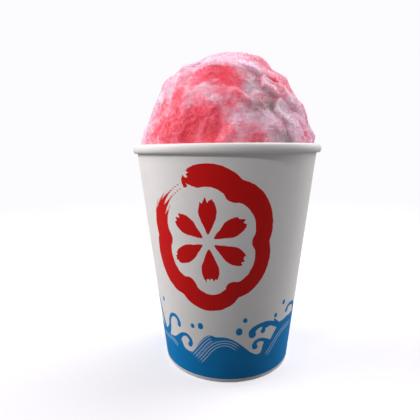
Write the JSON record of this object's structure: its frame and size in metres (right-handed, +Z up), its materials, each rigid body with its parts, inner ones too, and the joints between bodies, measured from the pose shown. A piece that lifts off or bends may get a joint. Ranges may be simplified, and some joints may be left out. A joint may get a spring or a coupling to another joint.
{
  "type": "shaved ice dessert in a paper cup",
  "caption": "Mound of shaved ice with red syrup, filling a tapered paper cup with a rolled rim, a raised floor and a printed wave band.",
  "frame": {"origin": "centre of the ring that the cup stands on", "axes": "+Z up, -Y towards the printed front, +X to the right seen from the front"},
  "size_m": [0.09, 0.09, 0.1497],
  "materials": {
    "printed_paper": "satin",
    "bare_paper": "matte",
    "syruped_ice": "satin"
  },
  "bodies": {
    "root": {"cup_wall": "printed_paper", "cup_base": "bare_paper", "shaved_ice": "syruped_ice"}
  },
  "joints": []
}
